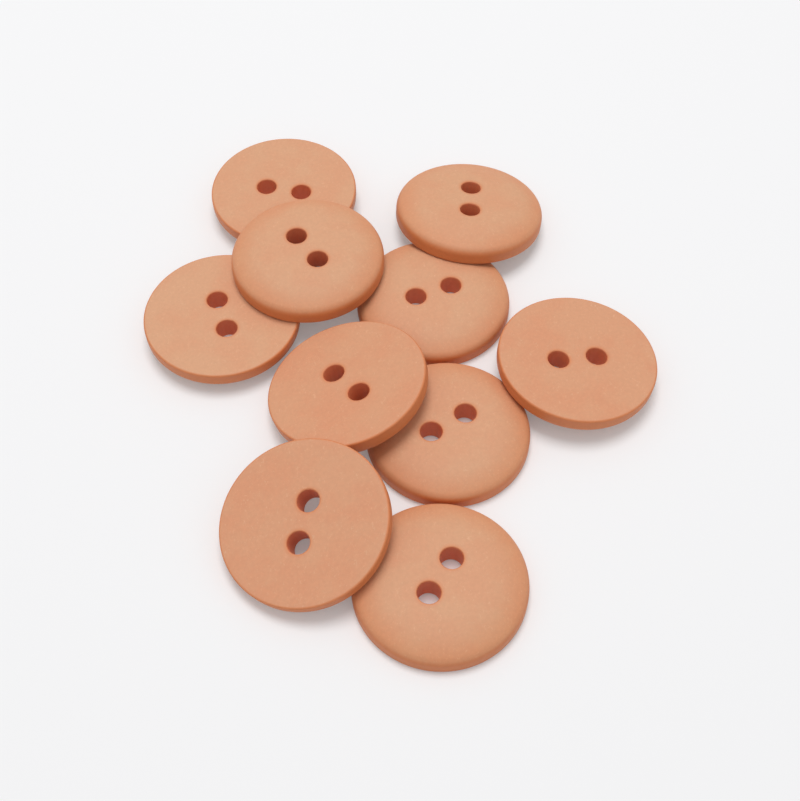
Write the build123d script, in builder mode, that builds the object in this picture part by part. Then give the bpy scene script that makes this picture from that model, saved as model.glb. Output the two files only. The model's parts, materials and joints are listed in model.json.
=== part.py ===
# A set of ten turned two-hole sewing buttons, lying in the loose heap that they were tipped into.
# Every button is the same lens-like disc: the back is a low dome with a flat land in its middle,
# the rim is straight between rounded edges, and the front is hollowed by a shallow dish.
# Five lie level on the surface and five rest on their neighbours, as they came to rest.
from build123d import *
import os
import numpy as np
from scipy.optimize import linprog

# One button, in millimetres
button_diameter = 15.0
rim_thickness = 1.5
dome_rise = 1.0
dish_depth = 0.1
back_edge_radius = 0.9
front_edge_radius = 0.2

# The thread holes, the bridge of material between them and the flat land that they open on
hole_diameter = 2.0
hole_bridge = 1.7
hole_chamfer = 0.1
land_margin = 0.3

# The air left between a button and the ones that it rests on
seat_gap = 0.03

# The heap, in the order in which the buttons come to rest: how far to the right and how far back
# the middle of each one lies, as shares of the diameter
place_shares = {
    "button_back_left": (-0.80, 1.67),
    "button_left": (-1.14, 0.57),
    "button_back_middle": (0.22, 0.75),
    "button_middle": (0.29, -0.27),
    "button_front": (0.22, -1.28),
    "button_top_left": (-0.60, 0.98),
    "button_back_right": (0.48, 1.48),
    "button_leaning_middle": (-0.31, -0.03),
    "button_right": (1.10, 0.19),
    "button_leaning_front": (-0.53, -0.97),
}

# The direction of each one's pair of holes, in degrees from the right
hole_degrees = {
    "button_back_left": 168,
    "button_left": 109,
    "button_back_middle": 22,
    "button_middle": 32,
    "button_front": 58,
    "button_top_left": 126,
    "button_back_right": 86,
    "button_leaning_middle": 132,
    "button_right": 9,
    "button_leaning_front": 77,
}

# Those that came to rest with the dish up; the others show the dome
dish_up = {
    "button_back_left",
    "button_left",
    "button_leaning_middle",
    "button_right",
    "button_leaning_front",
}

# How finely the resting poses are worked out: samples of a button's skin, as a share of its
# diameter along the section and as a count around the axis, and the steps of slope and level
skin_step_share = 0.005
skin_spokes = 120
first_slope_step = 0.2
slope_step_share = 0.6
slope_steps = 14
level_steps = 4

button_radius = button_diameter / 2
half_thickness = (rim_thickness + dome_rise) / 2
hole_radius = hole_diameter / 2
hole_spacing = hole_diameter + hole_bridge
land_radius = hole_spacing / 2 + hole_radius + hole_chamfer + land_margin


# The button: its half section turned round the axis, with the dish on the upper side
with BuildPart() as button:
    with BuildSketch(Plane.YZ) as section:
        with BuildLine():
            land = Line((0, -half_thickness), (land_radius, -half_thickness))
            dome = TangentArc(land @ 1, (button_radius, dome_rise - half_thickness), tangent=land % 1)
            rim = Line(dome @ 1, (button_radius, half_thickness))
            dish = TangentArc((0, half_thickness - dish_depth), rim @ 1, tangent=(1, 0))
            Line(dish @ 0, land @ 0)
        make_face()
        fillet(section.vertices().group_by(Axis.X)[-1].sort_by(Axis.Y)[0], back_edge_radius)
        fillet(section.vertices().group_by(Axis.X)[-1].sort_by(Axis.Y)[-1], front_edge_radius)
    revolve(axis=Axis.Z)
    with GridLocations(hole_spacing, hole_spacing, 2, 1):
        Hole(hole_radius)
    hole_walls = button.faces().filter_by(GeomType.CYLINDER).sort_by(SortBy.AREA)[:2]
    chamfer(hole_walls.edges().filter_by(GeomType.LINE, reverse=True), hole_chamfer)


def section_skin():
    """Points along the section of the button, as radius and height, split at the middle of the rim."""
    edges = section.edges()
    rim_middle = edges.filter_by(Axis.Y).sort_by(Axis.X)[-1].center().Y
    points = []
    for edge in edges.filter_by(lambda e: e.center().X > 0):
        count = 2 + int(edge.length / (button_diameter * skin_step_share))
        points += [(p.X, p.Y) for p in edge.positions(np.linspace(0, 1, count))]
    points = np.array(sorted(points))
    return points[points[:, 1] <= rim_middle], points[points[:, 1] >= rim_middle]


back_skin, front_skin = section_skin()


def skins(name):
    """The lower and the upper skin of a button, by the face that it shows."""
    if name in dish_up:
        return back_skin, front_skin
    return front_skin * (1, -1), back_skin * (1, -1)


def tilted_axes(slopes):
    """The axes of a level button after it is tilted, with no turn, until it rises by these slopes."""
    normal = np.array([-slopes[0], -slopes[1], 1])
    nx, ny, nz = normal / np.linalg.norm(normal)
    across = -nx * ny / (1 + nz)
    return np.array([[1 - nx**2 / (1 + nz), across, nx], [across, 1 - ny**2 / (1 + nz), ny], [-nx, -ny, nz]])


def top_height(places, laid):
    """The height of a laid button's upper skin at each place in plan, far below it outside its rim."""
    radii, heights = skins(laid["name"])[1].T
    level = np.full(len(places), laid["middle"][2])
    for _ in range(level_steps):
        local = (np.column_stack([places, level]) - laid["middle"]) @ laid["axes"]
        reach = np.hypot(local[:, 0], local[:, 1])
        level += (np.interp(reach, radii, heights) - local[:, 2]) / laid["axes"][2, 2]
    return np.where(reach < button_radius, level, -button_diameter)


def come_to_rest(name, heap):
    """Lower a button on to the surface and the heap, and tilt it until its middle can sink no further."""
    place = np.array(place_shares[name]) * button_diameter
    radii, heights = skins(name)[0].T
    spokes = np.linspace(0, 2 * np.pi, skin_spokes, endpoint=False)
    underside = np.column_stack([
        np.outer(np.cos(spokes), radii).ravel(),
        np.outer(np.sin(spokes), radii).ravel(),
        np.tile(heights, skin_spokes),
    ])
    slopes = np.zeros(2)
    middle = np.array([*place, 0])
    step = first_slope_step
    for _ in range(slope_steps):
        points = underside @ tilted_axes(slopes).T + middle
        below = [top_height(points[:, :2], laid) + seat_gap for laid in heap]
        clear = points[:, 2] - np.max([np.zeros(len(points)), *below], axis=0)
        arms = np.column_stack([np.ones(len(points)), points[:, :2] - place])
        limits = [(None, None), (-step, step), (-step, step)]
        best = linprog((1, 0, 0), A_ub=-arms, b_ub=clear, bounds=limits)
        middle[2] += best.x[0]
        slopes += best.x[1:]
        step *= slope_step_share
    return {"name": name, "middle": middle, "axes": tilted_axes(slopes)}


# Lay the buttons one by one, each on those that lie there already
heap = []
for name in place_shares:
    heap.append(come_to_rest(name, heap))

# The plane of each button, its X axis along the pair of holes and its Z axis out of the dish
planes = {}
for laid in heap:
    turn = np.radians(hole_degrees[laid["name"]])
    out_of_dish = 1 if laid["name"] in dish_up else -1
    planes[laid["name"]] = Plane(
        origin=tuple(laid["middle"]),
        x_dir=tuple(laid["axes"] @ (np.cos(turn), np.sin(turn), 0)),
        z_dir=tuple(laid["axes"][:, 2] * out_of_dish),
    )

# The origin is on the surface, below the middle of the heap's box
box = Compound([button.part.moved(plane.location) for plane in planes.values()]).bounding_box()
heap_middle = Vector(box.center().X, box.center().Y, 0)

os.makedirs("parts", exist_ok=True)
for name, plane in planes.items():
    plane.origin -= heap_middle
    with BuildPart(plane) as piece:
        add(button.part)
    piece.part.label = name
    export_step(piece.part, f"parts/{name}.step")
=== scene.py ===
# Ten two-hole sewing buttons of one size, tipped out in a loose heap on a pale surface.
# Every button is one turned section, drilled twice; its place in the heap comes from its thread holes.
import json
import math

import bpy
from bpy.props import FloatProperty, FloatVectorProperty, IntProperty, PointerProperty
from mathutils import Matrix, Vector


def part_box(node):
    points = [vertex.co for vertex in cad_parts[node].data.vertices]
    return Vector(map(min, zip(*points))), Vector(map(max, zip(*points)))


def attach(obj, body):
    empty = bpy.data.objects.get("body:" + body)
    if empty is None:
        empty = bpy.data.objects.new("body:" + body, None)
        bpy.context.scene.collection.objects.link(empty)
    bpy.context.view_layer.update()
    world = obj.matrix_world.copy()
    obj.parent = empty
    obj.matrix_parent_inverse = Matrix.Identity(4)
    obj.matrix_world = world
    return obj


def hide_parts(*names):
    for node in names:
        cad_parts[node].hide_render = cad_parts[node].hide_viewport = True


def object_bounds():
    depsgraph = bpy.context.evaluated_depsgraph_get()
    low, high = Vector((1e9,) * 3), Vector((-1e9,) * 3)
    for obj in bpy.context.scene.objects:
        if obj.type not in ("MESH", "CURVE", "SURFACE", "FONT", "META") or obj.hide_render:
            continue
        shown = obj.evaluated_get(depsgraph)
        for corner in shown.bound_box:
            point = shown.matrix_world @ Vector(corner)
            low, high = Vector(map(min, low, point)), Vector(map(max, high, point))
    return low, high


bl_info = {
    "name": "Sewing Buttons",
    "version": (1, 0, 0),
    "blender": (4, 5, 0),
    "location": "3D View > Sidebar > Buttons",
    "description": "Makes a loose heap of turned two-hole sewing buttons and the surface that it lies on",
    "category": "Add Mesh",
}

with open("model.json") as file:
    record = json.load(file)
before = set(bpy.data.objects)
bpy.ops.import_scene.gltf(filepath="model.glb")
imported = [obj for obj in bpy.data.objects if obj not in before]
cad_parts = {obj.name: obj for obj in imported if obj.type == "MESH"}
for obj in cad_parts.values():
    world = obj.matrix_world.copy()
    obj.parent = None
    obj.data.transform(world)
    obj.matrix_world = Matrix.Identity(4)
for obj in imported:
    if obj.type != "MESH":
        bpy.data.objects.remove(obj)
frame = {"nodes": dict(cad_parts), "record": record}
cad_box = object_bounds()

MM = 0.001
MOUNTS = {mount["name"]: mount for mount in frame["record"]["mounts"]}
BUTTONS = sorted(frame["nodes"])

# The buttons that lie with the dish up; the others show the dome of the back
DISH_UP = {
    "button_back_left",
    "button_left",
    "button_leaning_middle",
    "button_leaning_front",
    "button_right",
}

# The buttons that came out of the tumbler a little pinker, and how far their frost leans to the warm one
PINKER = {
    "button_leaning_middle",
    "button_leaning_front",
    "button_right",
}
PINK_SHARE = 0.5

# Steps of the turned meshes: round the axis, and along each stretch of the section
LAND_ROWS = 8
DOME_ROWS = 14
EDGE_ROWS = 8
DISH_ROWS = 18
LIP_ROWS = 6
DRILL_STEPS = 48

# Where a rounded lip stops, so that the drill still cuts the face at an angle
LIP_TURN = math.radians(65)

# An edge that bends further than this stays sharp in the shading
SHARP_ANGLE = math.radians(16)

# Points of a turned mesh that lie closer than this are merged
MERGE_DISTANCE = 0.001 * MM

# Where the frost fades out inside the rim, and where it comes in from the wall of a hole
RIM_FADE_START = 0.25 * MM
RIM_FADE_END = 0.02 * MM
HOLE_FADE_START = -0.2 * MM
HOLE_FADE_END = 0.45 * MM

# The share of the radius at which the frost of the dome starts to thin, and the share of it left at the rim.
# The thinning is partly real frost and partly painted loss of sheen where the dome slopes down to the rim.
SHOULDER_SHARE = 0.65
SHOULDER_FROST_AND_SHEEN_SHARE = 0.58

# How far the painted glow of a hole, which stands in for light passing through the polyester, reaches past
# its wall
BORE_GLOW_REACH = 0.05 * MM

# Sizes of the clouds, specks and pits in the skin, and the height of its grain. Real specks and pits are
# too fine for the picture, so they are drawn as coarse as they need to be to show.
CLOUD_SIZE = 4 * MM
SPECK_SIZE = 0.22 * MM
SPECK_STRETCH_SHARE = 0.6
PIT_SIZE = 0.3 * MM
GRAIN_DEPTH = 0.002 * MM

# The levels of a noise at which a cloud, speck or pit starts to show and shows in full
CLOUD_LEVELS = (0.35, 0.65)
SPECK_LEVELS = (0.6, 0.76)
PIT_LEVELS = (0.25, 0.75)

# How strong they are: shares of their own colour for clouds and specks, and the range of shade for pits
CLOUD_SHARE = 0.5
SPECK_SHARE = 0.45
PIT_SHADES = (0.965, 1.035)

# The gloss of polyester, where it is cut and where it is frosted
POLYESTER_IOR = 1.55
CUT_ROUGHNESS = 0.52
FROST_ROUGHNESS = 0.65

# The surface: how far it reaches, from where it fades into the backdrop and by where it is one with it,
# and how matt it is
FLOOR_REACH = 1000 * MM
FADE_START = 120 * MM
FADE_END = 400 * MM
CARD_ROUGHNESS = 0.9

# The height in the sky, as a share of the way straight up, from which it has its full strength
HIGH_SKY_SHARE = 0.6

# The lamp over the heap, and the camera: its sensor in plain millimetres, and the point it looks at
LAMP_DIAMETER = 260 * MM
LAMP_PLACE = (-20 * MM, 100 * MM, 490 * MM)
SENSOR_WIDTH = 36
NEAR_CLIP = 1 * MM
CAMERA_AIM = (0.2695 * MM, -2.925 * MM, 0)

BLACK = (0, 0, 0, 1)
WHITE = (1, 1, 1, 1)

# Sockets of a Mix node that mixes colours
MIX_A = 6
MIX_B = 7
MIX_RESULT = 2


def hole_pair(node):
    """The two thread holes of a button, as the frame's record gives them."""
    place = node.removeprefix("button_")
    return MOUNTS[f"{place}_hole_a"], MOUNTS[f"{place}_hole_b"]


def seat(node):
    """Where a button lies: X along its holes, Z out of its dish, and the origin in its middle."""
    hole_a, hole_b = hole_pair(node)
    ends = Vector(hole_a["pos_m"]), Vector(hole_b["pos_m"])
    up = Vector(hole_a["axis"])
    z_axis = up if node in DISH_UP else -up
    x_axis = (ends[1] - ends[0]).normalized()
    turn = Matrix((x_axis, z_axis.cross(x_axis), z_axis)).transposed()
    return (ends[0] + ends[1]) / 2, turn.to_euler()


def linear(hex_colour):
    """An sRGB hex colour as linear red, green and blue."""
    channels = [int(hex_colour[i:i + 2], 16) / 255 for i in (1, 3, 5)]
    return [c / 12.92 if c <= 0.04045 else ((c + 0.055) / 1.055) ** 2.4 for c in channels]


LEVEL_LOW, LEVEL_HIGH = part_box("button_left")
HOLE_A, HOLE_B = hole_pair("button_left")


class ButtonSizes(bpy.types.PropertyGroup):
    """The sizes that all the buttons share"""

    diameter: FloatProperty(
        name="Diameter",
        description="Across the rim of a button",
        default=LEVEL_HIGH.x - LEVEL_LOW.x,
        unit="LENGTH",
    )
    rim_thickness: FloatProperty(
        name="Rim Thickness",
        description="Height of the rim before its edges are rounded",
        default=1.5 * MM,
        unit="LENGTH",
    )
    dome_rise: FloatProperty(
        name="Dome Rise",
        description="How far the back swells from the rim to its flat middle",
        default=1.0 * MM,
        unit="LENGTH",
    )
    dish_depth: FloatProperty(
        name="Dish Depth",
        description="How far the front is hollowed below the rim",
        default=0.1 * MM,
        unit="LENGTH",
    )
    back_edge_radius: FloatProperty(
        name="Back Edge Radius",
        description="Rounding between the dome and the rim",
        default=0.9 * MM,
        unit="LENGTH",
    )
    front_edge_radius: FloatProperty(
        name="Front Edge Radius",
        description="Rounding between the rim and the dish",
        default=0.2 * MM,
        unit="LENGTH",
    )
    hole_diameter: FloatProperty(
        name="Hole Diameter",
        description="Bore of a thread hole",
        default=2 * HOLE_A["dims"]["r_mm"] * MM,
        unit="LENGTH",
    )
    hole_spacing: FloatProperty(
        name="Hole Spacing",
        description="Between the middles of the two thread holes",
        default=(Vector(HOLE_A["pos_m"]) - Vector(HOLE_B["pos_m"])).length,
        unit="LENGTH",
    )
    lip_radius: FloatProperty(
        name="Lip Radius",
        description="Rounding of the mouths of the thread holes",
        default=0.13 * MM,
        unit="LENGTH",
    )
    land_radius: FloatProperty(
        name="Land Radius",
        description="Radius of the flat in the middle of the back",
        default=3.25 * MM,
        unit="LENGTH",
    )
    turning_steps: IntProperty(
        name="Turning Steps",
        description="Steps round the axis of a button",
        default=160,
        min=16,
    )


class ButtonColours(bpy.types.PropertyGroup):
    """The colours of the polyester"""

    # The body colour is partly bare polyester and partly painted shade: its deep, saturated orange on the rim
    # stands in for orange light bounced between the buttons
    body: FloatVectorProperty(
        name="Body",
        description="Cast polyester where tumbling leaves no frost, on the rim and round the holes",
        default=linear("#D47D48"),
        subtype="COLOR",
    )
    # The bore colour is a painted glow: brighter and redder than the body, it stands in for light that passes
    # through the polyester into the holes
    bore: FloatVectorProperty(
        name="Bore",
        description="Polyester in the thread holes, which light also reaches through the button",
        default=linear("#E57C50"),
        subtype="COLOR",
    )
    frost: FloatVectorProperty(
        name="Frost",
        description="Paler skin that tumbling leaves on the faces",
        default=linear("#D59E78"),
        subtype="COLOR",
    )
    warm_frost: FloatVectorProperty(
        name="Warm Frost",
        description="Pinker clouds in the skin of the faces",
        default=linear("#D6936D"),
        subtype="COLOR",
    )
    speck: FloatVectorProperty(
        name="Speck",
        description="Fine pale specks in the skin of the faces",
        default=linear("#E2B38E"),
        subtype="COLOR",
    )


class StageSettings(bpy.types.PropertyGroup):
    """The surface, the light and the camera"""

    floor_colour: FloatVectorProperty(
        name="Floor",
        description="Colour of the surface under the heap",
        default=linear("#F6F6F7"),
        subtype="COLOR",
    )
    floor_glow: FloatProperty(
        name="Floor Glow",
        description="Share of its own colour that the surface near the heap shows in any light",
        default=0.18,
    )
    sky_low: FloatProperty(
        name="Low Sky",
        description="Strength of the even light at the horizon",
        default=0.25,
    )
    sky_high: FloatProperty(
        name="High Sky",
        description="Strength of the even light overhead",
        default=0.55,
    )
    backdrop: FloatProperty(
        name="Backdrop",
        description="How bright the picture is behind the surface, where 1 is white",
        default=0.92,
    )
    lamp_power: FloatProperty(
        name="Lamp Power",
        description="Power of the lamp above the heap",
        default=1.3,
        unit="POWER",
    )
    lens: FloatProperty(
        name="Lens",
        description="Focal length on a sensor 36 mm wide",
        default=53.05,
        unit="CAMERA",
    )
    camera_pitch: FloatProperty(
        name="Camera Pitch",
        description="How far the camera looks down from the horizon",
        default=math.radians(55.69),
        subtype="ANGLE",
    )
    camera_roll: FloatProperty(
        name="Camera Roll",
        description="How far the camera is turned round its line of sight",
        default=math.radians(-0.22),
        subtype="ANGLE",
    )
    camera_distance: FloatProperty(
        name="Camera Distance",
        description="From the camera to the point of the surface that it looks at",
        default=110.54 * MM,
        unit="LENGTH",
    )


def add_node(tree, kind, settings=None, links=None):
    """Add a node to a tree, with its settings, and with its inputs linked to sockets or set to values."""
    node = tree.nodes.new(kind)
    for name, value in (settings or {}).items():
        setattr(node, name, value)
    for name, value in (links or {}).items():
        if isinstance(value, bpy.types.NodeSocket):
            tree.links.new(value, node.inputs[name])
        else:
            node.inputs[name].default_value = value
    return node


def new_geometry_tree(name, inputs):
    """A Geometry Nodes tree with these named inputs and one output, and the sockets of the inputs."""
    tree = bpy.data.node_groups.new(name, "GeometryNodeTree")
    for label, socket_type in inputs.items():
        tree.interface.new_socket(label, in_out="INPUT", socket_type=socket_type)
    tree.interface.new_socket("Geometry", in_out="OUTPUT", socket_type="NodeSocketGeometry")
    return tree, add_node(tree, "NodeGroupInput").outputs


def bake(tree, name, values):
    """Run a tree with values for its named inputs, and keep the result as a plain mesh object."""
    piece = bpy.data.objects.new(name, bpy.data.meshes.new(name))
    bpy.context.scene.collection.objects.link(piece)
    modifier = piece.modifiers.new(tree.name, "NODES")
    modifier.node_group = tree
    for item in tree.interface.items_tree:
        if item.in_out == "INPUT":
            modifier[item.identifier] = values[item.name]
    depsgraph = bpy.context.evaluated_depsgraph_get()
    evaluated = piece.evaluated_get(depsgraph)
    mesh = bpy.data.meshes.new_from_object(evaluated, preserve_all_data_layers=True, depsgraph=depsgraph)
    piece.modifiers.remove(modifier)
    blank = piece.data
    piece.data = mesh
    bpy.data.meshes.remove(blank)
    mesh.name = name
    return piece


def arc(centre, radius, start, end, rows):
    """Points of an arc in the plane of a section, after its start, with the angles in radians."""
    angles = [start + (end - start) * (row + 1) / rows for row in range(rows)]
    return [(centre[0] + radius * math.cos(a), centre[1] + radius * math.sin(a)) for a in angles]


def button_section(sizes):
    """Half the section of a button, as radius and height: along the back, up the rim, along the dish."""
    radius = sizes.diameter / 2
    half_thickness = (sizes.rim_thickness + sizes.dome_rise) / 2
    land = sizes.land_radius
    back_edge = sizes.back_edge_radius
    front_edge = sizes.front_edge_radius

    dome_width = radius - land
    dome_radius = (dome_width**2 + sizes.dome_rise**2) / (2 * sizes.dome_rise)
    dome_centre = (land, dome_radius - half_thickness)
    dish_radius = (radius**2 + sizes.dish_depth**2) / (2 * sizes.dish_depth)
    dish_centre = (0, dish_radius + half_thickness - sizes.dish_depth)

    back_turn = -math.acos((dome_width - back_edge) / (dome_radius - back_edge))
    back_drop = (dome_radius - back_edge) * math.sin(back_turn)
    back_centre = (radius - back_edge, dome_centre[1] + back_drop)
    front_turn = -math.acos((radius - front_edge) / (dish_radius + front_edge))
    front_drop = (dish_radius + front_edge) * math.sin(front_turn)
    front_centre = (radius - front_edge, dish_centre[1] + front_drop)

    points = [(land * row / LAND_ROWS, -half_thickness) for row in range(LAND_ROWS + 1)]
    points += arc(dome_centre, dome_radius, -math.pi / 2, back_turn, DOME_ROWS)
    points += arc(back_centre, back_edge, back_turn, 0, EDGE_ROWS)
    points += [(radius, front_centre[1])]
    points += arc(front_centre, front_edge, 0, front_turn + math.pi, EDGE_ROWS)
    points += arc(dish_centre, dish_radius, front_turn, -math.pi / 2, DISH_ROWS)
    return points


def drill_section(sizes):
    """Half the section of the drill for a hole, which rounds both mouths and ends clear of the faces."""
    wall = sizes.hole_diameter / 2
    lip = sizes.lip_radius
    half_thickness = (sizes.rim_thickness + sizes.dome_rise) / 2
    dish_height = sizes.dish_depth * (1 - (sizes.hole_spacing / sizes.diameter) ** 2)
    points = []
    for mouth, way in ((-half_thickness, -1), (half_thickness - dish_height, 1)):
        middle = (wall + lip, mouth - way * lip)
        flare = [(wall, middle[1])] + arc(middle, lip, math.pi, math.pi - way * LIP_TURN, LIP_ROWS)
        edge = flare[-1]
        run_out = (edge[0] + lip * math.sin(LIP_TURN), edge[1] + way * lip * math.cos(LIP_TURN))
        end = mouth + way * sizes.rim_thickness
        flare += [run_out, (run_out[0], end), (0, end)]
        points += flare if way > 0 else flare[::-1]
    return points


def section_line(name, points):
    """A line of points in the XZ plane, for a tree to turn."""
    mesh = bpy.data.meshes.new(name)
    vertices = [(radius, 0, height) for radius, height in points]
    mesh.from_pydata(vertices, [(i, i + 1) for i in range(len(points) - 1)], [])
    line = bpy.data.objects.new(name, mesh)
    bpy.context.scene.collection.objects.link(line)
    return line


def turned_solid_tree():
    """A tree that turns a half section round the Z axis, from one end on the axis to the other."""
    tree, given = new_geometry_tree("Turned solid", {
        "Section": "NodeSocketObject",
        "Steps": "NodeSocketInt",
    })
    section = add_node(tree, "GeometryNodeObjectInfo", {"transform_space": "ORIGINAL"}, {
        "Object": given["Section"],
    }).outputs["Geometry"]
    rows = add_node(tree, "GeometryNodeAttributeDomainSize", {"component": "MESH"}, {
        "Geometry": section,
    }).outputs["Point Count"]
    columns = add_node(tree, "ShaderNodeMath", {"operation": "ADD"}, {0: given["Steps"], 1: 1.0})
    grid = add_node(tree, "GeometryNodeMeshGrid", links={
        "Vertices X": columns.outputs[0],
        "Vertices Y": rows,
    })

    index = add_node(tree, "GeometryNodeInputIndex").outputs[0]
    row = add_node(tree, "ShaderNodeMath", {"operation": "MODULO"}, {0: index, 1: rows})
    share = add_node(tree, "ShaderNodeMath", {"operation": "DIVIDE"}, {0: index, 1: rows})
    column = add_node(tree, "ShaderNodeMath", {"operation": "FLOOR"}, {0: share.outputs[0]})
    step = add_node(tree, "ShaderNodeMath", {"operation": "DIVIDE"}, {0: math.tau, 1: given["Steps"]})
    angle = add_node(tree, "ShaderNodeMath", {"operation": "MULTIPLY"}, {
        0: column.outputs[0],
        1: step.outputs[0],
    })
    on_section = add_node(tree, "GeometryNodeSampleIndex", {"data_type": "FLOAT_VECTOR"}, {
        "Geometry": section,
        "Value": add_node(tree, "GeometryNodeInputPosition").outputs[0],
        "Index": row.outputs[0],
    })
    turned = add_node(tree, "ShaderNodeVectorRotate", {"rotation_type": "Z_AXIS"}, {
        "Vector": on_section.outputs[0],
        "Angle": angle.outputs[0],
    })
    skin = add_node(tree, "GeometryNodeSetPosition", links={
        "Geometry": grid.outputs["Mesh"],
        "Position": turned.outputs[0],
    })
    closed = add_node(tree, "GeometryNodeMergeByDistance", links={
        "Geometry": skin.outputs[0],
        "Distance": MERGE_DISTANCE,
    })
    add_node(tree, "NodeGroupOutput", links={"Geometry": closed.outputs[0]})
    return tree


def drilled_button_tree():
    """A tree that turns a button, drills its two thread holes and lays it at its place."""
    tree, given = new_geometry_tree("Drilled button", {
        "Section": "NodeSocketObject",
        "Drill": "NodeSocketObject",
        "Turning Steps": "NodeSocketInt",
        "Drill Steps": "NodeSocketInt",
        "Hole Spacing": "NodeSocketFloat",
        "Place": "NodeSocketVector",
        "Turn": "NodeSocketRotation",
        "Pinkness": "NodeSocketFloat",
        "Finish": "NodeSocketMaterial",
    })
    turned_solid = turned_solid_tree()
    body = add_node(tree, "GeometryNodeGroup", {"node_tree": turned_solid}, {
        "Section": given["Section"],
        "Steps": given["Turning Steps"],
    })
    drill = add_node(tree, "GeometryNodeGroup", {"node_tree": turned_solid}, {
        "Section": given["Drill"],
        "Steps": given["Drill Steps"],
    })
    start = add_node(tree, "ShaderNodeMath", {"operation": "MULTIPLY"}, {0: given["Hole Spacing"], 1: -0.5})
    hole_line = add_node(tree, "GeometryNodeMeshLine", links={
        "Count": 2,
        "Start Location": add_node(tree, "ShaderNodeCombineXYZ", links={"X": start.outputs[0]}).outputs[0],
        "Offset": add_node(tree, "ShaderNodeCombineXYZ", links={"X": given["Hole Spacing"]}).outputs[0],
    })
    drills = add_node(tree, "GeometryNodeInstanceOnPoints", links={
        "Points": hole_line.outputs[0],
        "Instance": drill.outputs[0],
    })
    cutters = add_node(tree, "GeometryNodeRealizeInstances", links={"Geometry": drills.outputs[0]})
    drilled = add_node(tree, "GeometryNodeMeshBoolean", {"operation": "DIFFERENCE", "solver": "EXACT"}, {
        "Mesh 1": body.outputs[0],
        "Mesh 2": cutters.outputs[0],
    })
    mapped = add_node(tree, "GeometryNodeStoreNamedAttribute", {"data_type": "FLOAT_VECTOR"}, {
        "Geometry": drilled.outputs["Mesh"],
        "Name": "button_place",
        "Value": add_node(tree, "GeometryNodeInputPosition").outputs[0],
    })
    tinted = add_node(tree, "GeometryNodeStoreNamedAttribute", {"data_type": "FLOAT"}, {
        "Geometry": mapped.outputs[0],
        "Name": "pinkness",
        "Value": given["Pinkness"],
    })
    bends = add_node(tree, "ShaderNodeMath", {"operation": "LESS_THAN"}, {
        0: add_node(tree, "GeometryNodeInputMeshEdgeAngle").outputs["Unsigned Angle"],
        1: SHARP_ANGLE,
    })
    smooth = add_node(tree, "GeometryNodeSetShadeSmooth", {"domain": "FACE"}, {
        "Geometry": tinted.outputs[0],
    })
    shaded = add_node(tree, "GeometryNodeSetShadeSmooth", {"domain": "EDGE"}, {
        "Geometry": smooth.outputs[0],
        "Shade Smooth": bends.outputs[0],
    })
    laid = add_node(tree, "GeometryNodeTransform", links={
        "Geometry": shaded.outputs[0],
        "Translation": given["Place"],
        "Rotation": given["Turn"],
    })
    real = add_node(tree, "GeometryNodeRealizeInstances", links={"Geometry": laid.outputs[0]})
    finished = add_node(tree, "GeometryNodeSetMaterial", links={
        "Geometry": real.outputs[0],
        "Material": given["Finish"],
    })
    add_node(tree, "NodeGroupOutput", links={"Geometry": finished.outputs[0]})
    return tree


def places_on_button(tree, sizes):
    """Where a point is on its button: from the axis, from the middle of the nearer hole, and its height."""
    place = add_node(tree, "ShaderNodeAttribute", {"attribute_name": "button_place"}).outputs["Vector"]
    plan = add_node(tree, "ShaderNodeVectorMath", {"operation": "MULTIPLY"}, {
        0: place,
        1: (1, 1, 0),
    }).outputs[0]
    from_axis = add_node(tree, "ShaderNodeVectorMath", {"operation": "LENGTH"}, {0: plan}).outputs["Value"]
    folded = add_node(tree, "ShaderNodeVectorMath", {"operation": "ABSOLUTE"}, {0: plan}).outputs[0]
    from_hole = add_node(tree, "ShaderNodeVectorMath", {"operation": "DISTANCE"}, {
        0: folded,
        1: (sizes.hole_spacing / 2, 0, 0),
    }).outputs["Value"]
    height = add_node(tree, "ShaderNodeSeparateXYZ", links={0: place}).outputs["Z"]
    return from_axis, from_hole, height


def frost_cover(tree, sizes, from_axis, from_hole, height):
    """How much frost a point has: whole on the faces, less on the dome's shoulder, none on rim or bore."""
    radius = sizes.diameter / 2
    bore = sizes.hole_diameter / 2
    on_face = add_node(tree, "ShaderNodeMapRange", {"interpolation_type": "SMOOTHSTEP"}, {
        "Value": from_axis,
        "From Min": radius - RIM_FADE_START,
        "From Max": radius - RIM_FADE_END,
        "To Min": 1.0,
        "To Max": 0.0,
    })
    off_hole = add_node(tree, "ShaderNodeMapRange", {"interpolation_type": "SMOOTHSTEP"}, {
        "Value": from_hole,
        "From Min": bore + HOLE_FADE_START,
        "From Max": bore + HOLE_FADE_END,
    })
    # On the dome side the frost thins towards the rim, partly as painted loss of sheen on the slope
    shoulder_frost_and_sheen = add_node(tree, "ShaderNodeMapRange", {"interpolation_type": "SMOOTHSTEP"}, {
        "Value": from_axis,
        "From Min": SHOULDER_SHARE * radius,
        "From Max": radius,
        "To Min": 1.0,
        "To Max": SHOULDER_FROST_AND_SHEEN_SHARE,
    })
    on_dish = add_node(tree, "ShaderNodeMath", {"operation": "GREATER_THAN"}, {0: height, 1: 0.0})
    by_side = add_node(tree, "ShaderNodeMath", {"operation": "MAXIMUM"}, {
        0: shoulder_frost_and_sheen.outputs[0],
        1: on_dish.outputs[0],
    })
    skin = add_node(tree, "ShaderNodeMath", {"operation": "MULTIPLY"}, {
        0: on_face.outputs[0],
        1: off_hole.outputs[0],
    })
    return add_node(tree, "ShaderNodeMath", {"operation": "MULTIPLY"}, {
        0: skin.outputs[0],
        1: by_side.outputs[0],
    }).outputs[0]


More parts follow.
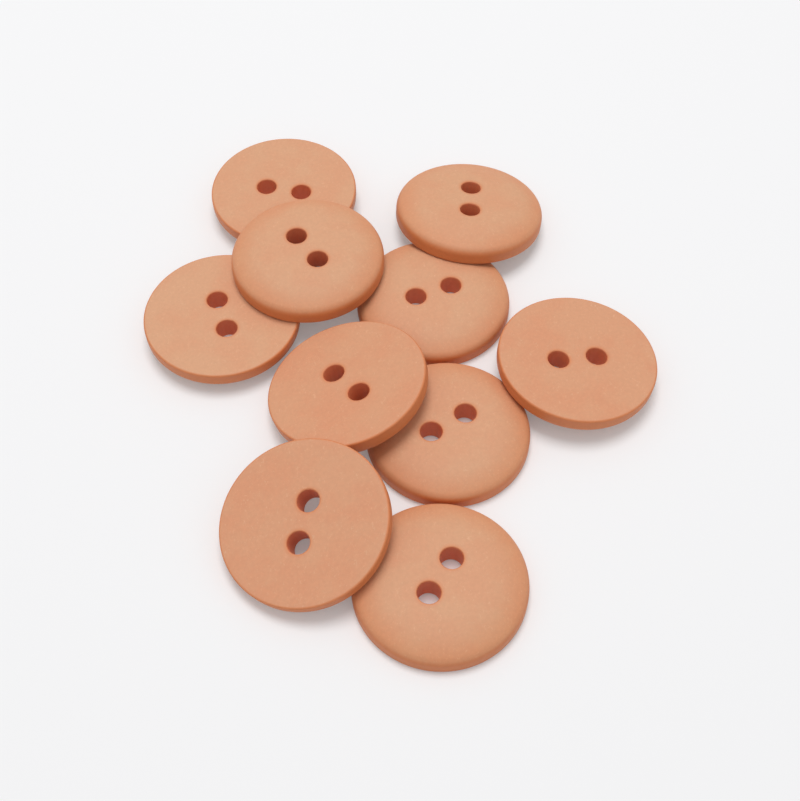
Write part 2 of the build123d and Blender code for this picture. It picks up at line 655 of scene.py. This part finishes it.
def clouded_frost(tree, colours, lie):
    """The colour of the frost, with pinker clouds in it, and pinker all over on some buttons."""
    clouds = add_node(tree, "ShaderNodeTexNoise", links={
        "Vector": lie,
        "Scale": 1 / CLOUD_SIZE,
        "Detail": 3.0,
        "Roughness": 0.6,
    })
    cloud = add_node(tree, "ShaderNodeMapRange", {"interpolation_type": "SMOOTHSTEP"}, {
        "Value": clouds.outputs[0],
        "From Min": CLOUD_LEVELS[0],
        "From Max": CLOUD_LEVELS[1],
        "To Max": CLOUD_SHARE,
    })
    pinkness = add_node(tree, "ShaderNodeAttribute", {"attribute_name": "pinkness"}).outputs["Fac"]
    warmth = add_node(tree, "ShaderNodeMath", {"operation": "ADD"}, {0: pinkness, 1: cloud.outputs[0]})
    return add_node(tree, "ShaderNodeMix", {"data_type": "RGBA"}, {
        0: warmth.outputs[0],
        MIX_A: (*colours.frost, 1),
        MIX_B: (*colours.warm_frost, 1),
    }).outputs[MIX_RESULT]


def body_and_bore_glow(tree, colours, bore, from_hole):
    """The colour under the frost: the body's, and on the hole walls a redder painted glow of light passing
    through the polyester.
    """
    # The hole walls take the painted glow, which fades out just past the wall
    bore_glow_share = add_node(tree, "ShaderNodeMapRange", {"interpolation_type": "SMOOTHSTEP"}, {
        "Value": from_hole,
        "From Min": bore,
        "From Max": bore + BORE_GLOW_REACH,
        "To Min": 1.0,
        "To Max": 0.0,
    })
    return add_node(tree, "ShaderNodeMix", {"data_type": "RGBA"}, {
        0: bore_glow_share.outputs[0],
        MIX_A: (*colours.body, 1),
        MIX_B: (*colours.bore, 1),
    }).outputs[MIX_RESULT]


def tumbled_polyester(colours, sizes):
    """Cast polyester, turned and then tumbled.

    The eye sees a matt, slightly cloudy colour with fine pale specks. Tumbling frosts the faces, so they are
    paler than the rim; the rim's deeper orange is partly bare polyester and partly painted shade of orange
    light bounced between the buttons. The holes show a painted glow of light passing through the polyester.
    The frost thins out round the holes. On the shoulder of the dome it thins too, partly as painted loss of
    sheen.
    """
    material = bpy.data.materials.new("Tumbled cast polyester")
    material.use_nodes = True
    tree = material.node_tree
    tree.nodes.clear()

    from_axis, from_hole, height = places_on_button(tree, sizes)
    frost = frost_cover(tree, sizes, from_axis, from_hole, height)
    lie = add_node(tree, "ShaderNodeTexCoord").outputs["Object"]
    face_colour = add_node(tree, "ShaderNodeMix", {"data_type": "RGBA"}, {
        0: frost,
        MIX_A: body_and_bore_glow(tree, colours, sizes.hole_diameter / 2, from_hole),
        MIX_B: clouded_frost(tree, colours, lie),
    })

    # Specks in the frost, drawn out along the heap
    drawn_out = add_node(tree, "ShaderNodeVectorMath", {"operation": "MULTIPLY"}, {
        0: lie,
        1: (1, SPECK_STRETCH_SHARE, 1),
    })
    grit = add_node(tree, "ShaderNodeTexNoise", links={
        "Vector": drawn_out.outputs[0],
        "Scale": 1 / SPECK_SIZE,
        "Detail": 1.0,
        "Distortion": 2.0,
    })
    specks = add_node(tree, "ShaderNodeMapRange", {"interpolation_type": "SMOOTHSTEP"}, {
        "Value": grit.outputs[0],
        "From Min": SPECK_LEVELS[0],
        "From Max": SPECK_LEVELS[1],
        "To Max": SPECK_SHARE,
    })
    frosted_specks = add_node(tree, "ShaderNodeMath", {"operation": "MULTIPLY"}, {
        0: specks.outputs[0],
        1: frost,
    })
    speckled = add_node(tree, "ShaderNodeMix", {"data_type": "RGBA"}, {
        0: frosted_specks.outputs[0],
        MIX_A: face_colour.outputs[MIX_RESULT],
        MIX_B: (*colours.speck, 1),
    })

    # Pits, as slight changes of shade
    pitting = add_node(tree, "ShaderNodeTexNoise", links={
        "Vector": lie,
        "Scale": 1 / PIT_SIZE,
        "Detail": 2.0,
    })
    pits = add_node(tree, "ShaderNodeMapRange", links={
        "Value": pitting.outputs[0],
        "From Min": PIT_LEVELS[0],
        "From Max": PIT_LEVELS[1],
        "To Min": PIT_SHADES[0],
        "To Max": PIT_SHADES[1],
    })
    colour = add_node(tree, "ShaderNodeHueSaturation", links={
        "Value": pits.outputs[0],
        "Color": speckled.outputs[MIX_RESULT],
    })

    roughness = add_node(tree, "ShaderNodeMapRange", links={
        "Value": frost,
        "To Min": CUT_ROUGHNESS,
        "To Max": FROST_ROUGHNESS,
    })
    grain = add_node(tree, "ShaderNodeBump", links={
        "Height": grit.outputs[0],
        "Strength": 1.0,
        "Distance": GRAIN_DEPTH,
    })
    shader = add_node(tree, "ShaderNodeBsdfPrincipled", links={
        "Base Color": colour.outputs[0],
        "Roughness": roughness.outputs[0],
        "IOR": POLYESTER_IOR,
        "Normal": grain.outputs[0],
    })
    add_node(tree, "ShaderNodeOutputMaterial", links={"Surface": shader.outputs[0]})
    return material


def make_buttons(sizes, colours):
    """Make every button of the heap and put it in the place of its solid."""
    section = section_line("button section", button_section(sizes))
    drill = section_line("drill section", drill_section(sizes))
    tree = drilled_button_tree()
    finish = tumbled_polyester(colours, sizes)
    for node in BUTTONS:
        place, turn = seat(node)
        piece = bake(tree, f"{node}_finished", {
            "Section": section,
            "Drill": drill,
            "Turning Steps": sizes.turning_steps,
            "Drill Steps": DRILL_STEPS,
            "Hole Spacing": sizes.hole_spacing,
            "Place": place,
            "Turn": turn,
            "Pinkness": PINK_SHARE if node in PINKER else 0.0,
            "Finish": finish,
        })
        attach(piece, "root")
        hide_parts(node)
    for helper in (section, drill):
        bpy.data.meshes.remove(helper.data)


def in_picture(tree):
    """Whether a ray shows in the picture: straight from the camera, or by way of a mirror or glass."""
    path = add_node(tree, "ShaderNodeLightPath").outputs
    shiny = add_node(tree, "ShaderNodeMath", {"operation": "MAXIMUM"}, {
        0: path["Is Glossy Ray"],
        1: path["Is Transmission Ray"],
    })
    return add_node(tree, "ShaderNodeMath", {"operation": "MAXIMUM"}, {
        0: path["Is Camera Ray"],
        1: shiny.outputs[0],
    }).outputs[0]


def matt_white_card(settings):
    """Matt white card.

    The eye sees an even pale surface with no gloss, which keeps the shadow of the heap. Far from the heap it
    shows its own colour, whatever light falls on it, so that no edge stands out against the backdrop.
    """
    material = bpy.data.materials.new("Matt white card")
    material.use_nodes = True
    tree = material.node_tree
    tree.nodes.clear()
    colour = (*settings.floor_colour, 1)
    from_heap = add_node(tree, "ShaderNodeVectorMath", {"operation": "LENGTH"}, {
        0: add_node(tree, "ShaderNodeTexCoord").outputs["Object"],
    })
    own_light = add_node(tree, "ShaderNodeMapRange", {"interpolation_type": "SMOOTHSTEP"}, {
        "Value": from_heap.outputs["Value"],
        "From Min": FADE_START,
        "From Max": FADE_END,
        "To Min": settings.floor_glow,
        "To Max": 1.0,
    })
    glow = add_node(tree, "ShaderNodeMath", {"operation": "MULTIPLY"}, {
        0: in_picture(tree),
        1: own_light.outputs[0],
    }).outputs[0]
    lit = add_node(tree, "ShaderNodeMix", {"data_type": "RGBA"}, {
        0: glow,
        MIX_A: colour,
        MIX_B: BLACK,
    })
    shader = add_node(tree, "ShaderNodeBsdfPrincipled", links={
        "Base Color": lit.outputs[MIX_RESULT],
        "Roughness": CARD_ROUGHNESS,
        "Specular IOR Level": 0.0,
        "Emission Color": colour,
        "Emission Strength": glow,
    })
    add_node(tree, "ShaderNodeOutputMaterial", links={"Surface": shader.outputs[0]})
    return material


def lay_floor(settings):
    """Lay the pale surface that the heap lies on."""
    reach = FLOOR_REACH
    corners = [(-reach, -reach, 0), (reach, -reach, 0), (reach, reach, 0), (-reach, reach, 0)]
    mesh = bpy.data.meshes.new("floor")
    mesh.from_pydata(corners, [], [(0, 1, 2, 3)])
    mesh.materials.append(matt_white_card(settings))
    floor = bpy.data.objects.new("floor", mesh)
    floor.location.z = cad_box[0][2]
    bpy.context.scene.collection.objects.link(floor)


def set_sky(settings):
    """Light the heap evenly, more from overhead than from the sides, in front of a pale backdrop."""
    world = bpy.data.worlds.new("Even studio light")
    world.use_nodes = True
    tree = world.node_tree
    direction = add_node(tree, "ShaderNodeTexCoord").outputs["Generated"]
    sky = add_node(tree, "ShaderNodeMapRange", links={
        "Value": add_node(tree, "ShaderNodeSeparateXYZ", links={0: direction}).outputs["Z"],
        "From Max": HIGH_SKY_SHARE,
        "To Min": settings.sky_low,
        "To Max": settings.sky_high,
    })
    backdrop = add_node(tree, "ShaderNodeMath", {"operation": "MULTIPLY"}, {
        0: in_picture(tree),
        1: settings.backdrop,
    })
    strength = add_node(tree, "ShaderNodeMath", {"operation": "MAXIMUM"}, {
        0: sky.outputs[0],
        1: backdrop.outputs[0],
    })
    background = tree.nodes["Background"]
    background.inputs["Color"].default_value = WHITE
    tree.links.new(strength.outputs[0], background.inputs["Strength"])
    bpy.context.scene.world = world


def hang_lamp(settings):
    """Hang a broad soft lamp over the heap."""
    lamp = bpy.data.lights.new("soft lamp", "AREA")
    lamp.shape = "DISK"
    lamp.size = LAMP_DIAMETER
    lamp.energy = settings.lamp_power
    lamp_object = bpy.data.objects.new("soft lamp", lamp)
    lamp_object.location = LAMP_PLACE
    lamp_object.rotation_euler = (-lamp_object.location).to_track_quat("-Z", "Y").to_euler()
    bpy.context.scene.collection.objects.link(lamp_object)


def set_camera(settings):
    """Set the camera, by the point that it looks at and its pitch, roll and distance from there."""
    camera = bpy.data.cameras.new("camera")
    camera.sensor_fit = "HORIZONTAL"
    camera.sensor_width = SENSOR_WIDTH
    camera.lens = settings.lens
    camera.clip_start = NEAR_CLIP
    camera_object = bpy.data.objects.new("camera", camera)
    aim = Matrix.Translation(CAMERA_AIM)
    tilt = Matrix.Rotation(math.pi / 2 - settings.camera_pitch, 4, "X")
    roll = Matrix.Rotation(settings.camera_roll, 4, "Z")
    back = Matrix.Translation((0, 0, settings.camera_distance))
    camera_object.matrix_world = aim @ tilt @ roll @ back
    bpy.context.scene.collection.objects.link(camera_object)
    bpy.context.scene.camera = camera_object


def make_stage(settings):
    """Lay the pale surface, and set the light and the camera."""
    bpy.context.scene.view_settings.view_transform = "Standard"
    lay_floor(settings)
    set_sky(settings)
    hang_lamp(settings)
    set_camera(settings)


class SEWINGBUTTONS_OT_make_buttons(bpy.types.Operator):
    """Turn, drill and lay all the buttons of the heap"""

    bl_idname = "sewing_buttons.make_buttons"
    bl_label = "Make Buttons"

    def execute(self, context):
        make_buttons(context.scene.button_sizes, context.scene.button_colours)
        return {"FINISHED"}


class SEWINGBUTTONS_OT_make_stage(bpy.types.Operator):
    """Lay the surface under the heap, and set the light and the camera"""

    bl_idname = "sewing_buttons.make_stage"
    bl_label = "Make Stage"

    def execute(self, context):
        make_stage(context.scene.button_stage)
        return {"FINISHED"}


class SEWINGBUTTONS_PT_panel(bpy.types.Panel):
    """Sizes, colours and operators of the heap of buttons"""

    bl_idname = "SEWINGBUTTONS_PT_panel"
    bl_label = "Sewing Buttons"
    bl_space_type = "VIEW_3D"
    bl_region_type = "UI"
    bl_category = "Buttons"

    def draw(self, context):
        for group in ("button_sizes", "button_colours", "button_stage"):
            settings = getattr(context.scene, group)
            box = self.layout.box()
            for name in settings.bl_rna.properties.keys():
                if name not in ("rna_type", "name"):
                    box.prop(settings, name)
        self.layout.operator(SEWINGBUTTONS_OT_make_buttons.bl_idname)
        self.layout.operator(SEWINGBUTTONS_OT_make_stage.bl_idname)


CLASSES = (
    ButtonSizes,
    ButtonColours,
    StageSettings,
    SEWINGBUTTONS_OT_make_buttons,
    SEWINGBUTTONS_OT_make_stage,
    SEWINGBUTTONS_PT_panel,
)


def register():
    for cls in CLASSES:
        bpy.utils.register_class(cls)
    bpy.types.Scene.button_sizes = PointerProperty(type=ButtonSizes)
    bpy.types.Scene.button_colours = PointerProperty(type=ButtonColours)
    bpy.types.Scene.button_stage = PointerProperty(type=StageSettings)


def unregister():
    for group in ("button_sizes", "button_colours", "button_stage"):
        delattr(bpy.types.Scene, group)
    for cls in reversed(CLASSES):
        bpy.utils.unregister_class(cls)


def main():
    register()
    bpy.ops.sewing_buttons.make_buttons()
    bpy.ops.sewing_buttons.make_stage()


if __name__ == "__main__":
    main()
